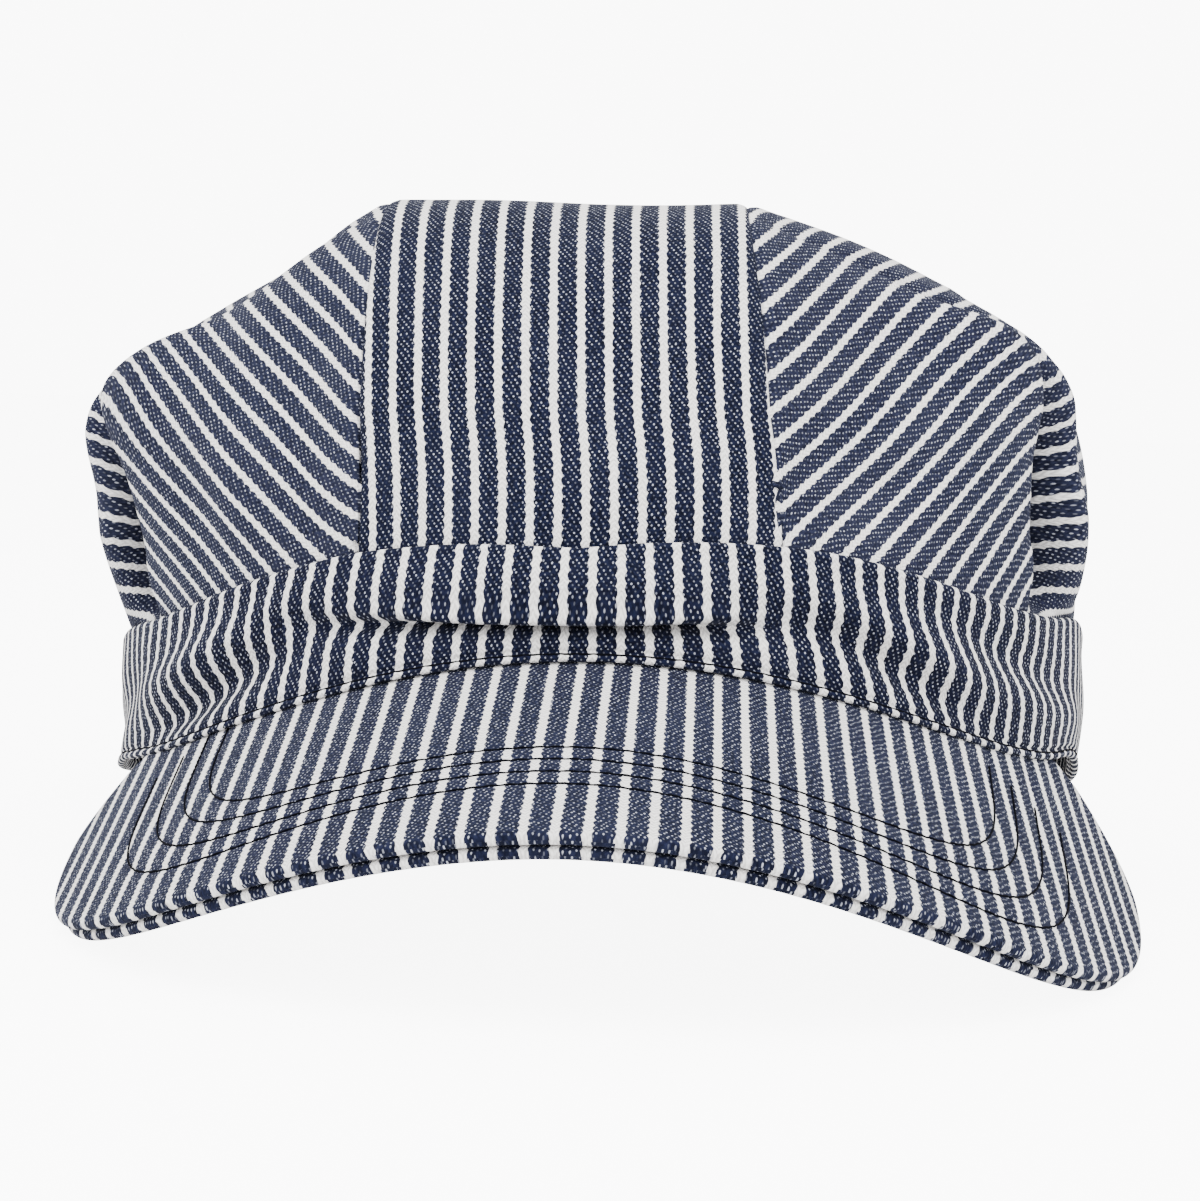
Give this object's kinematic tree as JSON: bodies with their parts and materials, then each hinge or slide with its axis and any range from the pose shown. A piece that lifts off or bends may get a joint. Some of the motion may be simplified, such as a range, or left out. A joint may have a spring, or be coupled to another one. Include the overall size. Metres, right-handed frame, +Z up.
{
  "type": "railroad engineer cap",
  "caption": "Soft cotton cap for railroad work with a gathered band, a tall slack crown pleated at the temples and a curved double cloth peak.",
  "frame": {"origin": "middle of the cap's outer box in plan, on the surface it rests on", "axes": "+Z up; -Y the way the peak points; +X to the right of someone who looks at the peak"},
  "size_m": [0.1874, 0.242, 0.1199],
  "materials": {
    "striped_cloth": "matt cotton twill with navy and off-white stripes",
    "peak_cloth": "matt cotton twill, stitched through in rows"
  },
  "bodies": {
    "root": {"head_band": "striped_cloth", "crown_middle_panel": "striped_cloth", "crown_right_panel": "striped_cloth", "crown_left_panel": "striped_cloth", "peak_top_cover": "peak_cloth", "peak_under_cover": "peak_cloth"}
  },
  "joints": []
}
